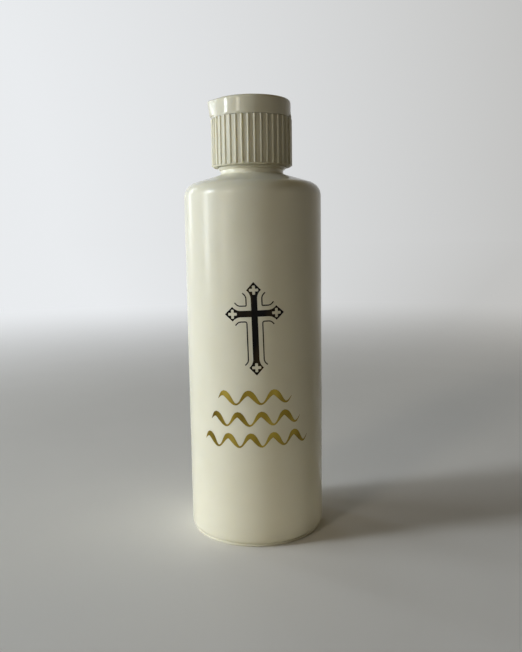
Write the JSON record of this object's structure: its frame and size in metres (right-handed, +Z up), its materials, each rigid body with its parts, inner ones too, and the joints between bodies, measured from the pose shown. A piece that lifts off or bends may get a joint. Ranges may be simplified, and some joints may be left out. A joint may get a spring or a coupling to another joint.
{
  "type": "holy water bottle",
  "caption": "Round white plastic squeeze bottle for holy water, with a printed cross and gold ornament, a ribbed screw closure and a flip-up snap lid.",
  "frame": {"origin": "centre of the standing ring under the base", "axes": "+Z up along the bottle's axis; the printed front faces -Y, the lid's thumb tab points to -X and its hinge to +X"},
  "size_m": [0.041, 0.041, 0.1295],
  "materials": {
    "bottle_plastic": "satin white polyethylene",
    "closure_plastic": "glossy white polypropylene",
    "liner_foam": "matt white foam",
    "black_foil": "glossy black stamped foil",
    "gold_foil": "bright gold stamped foil"
  },
  "bodies": {
    "bottle": {"bottle_body": "bottle_plastic"},
    "liner": {"seal_liner": "liner_foam"},
    "closure": {"closure_base": "closure_plastic", "living_hinge": "closure_plastic"},
    "lid": {"flip_lid": "closure_plastic"}
  },
  "joints": [
    {"name": "cap_lift", "type": "slide", "parent": "bottle", "child": "liner", "axis": [0, 0, 1], "range_m": [0, 0.00476]},
    {"name": "cap_turn", "type": "hinge", "parent": "liner", "child": "closure", "pos_m": [0, 0, 0.11], "axis": [0, 0, 1], "range_deg": [0, 540]},
    {"name": "lid_flip", "type": "hinge", "parent": "closure", "child": "lid", "pos_m": [0.01171, 0, 0.12396], "axis": [0, 1, 0], "range_deg": [0, 150], "deforming": ["living_hinge"]}
  ],
  "couplings": [
    {"joint": "cap_lift", "follows": "cap_turn", "m_per_rad": 0.00050532}
  ]
}
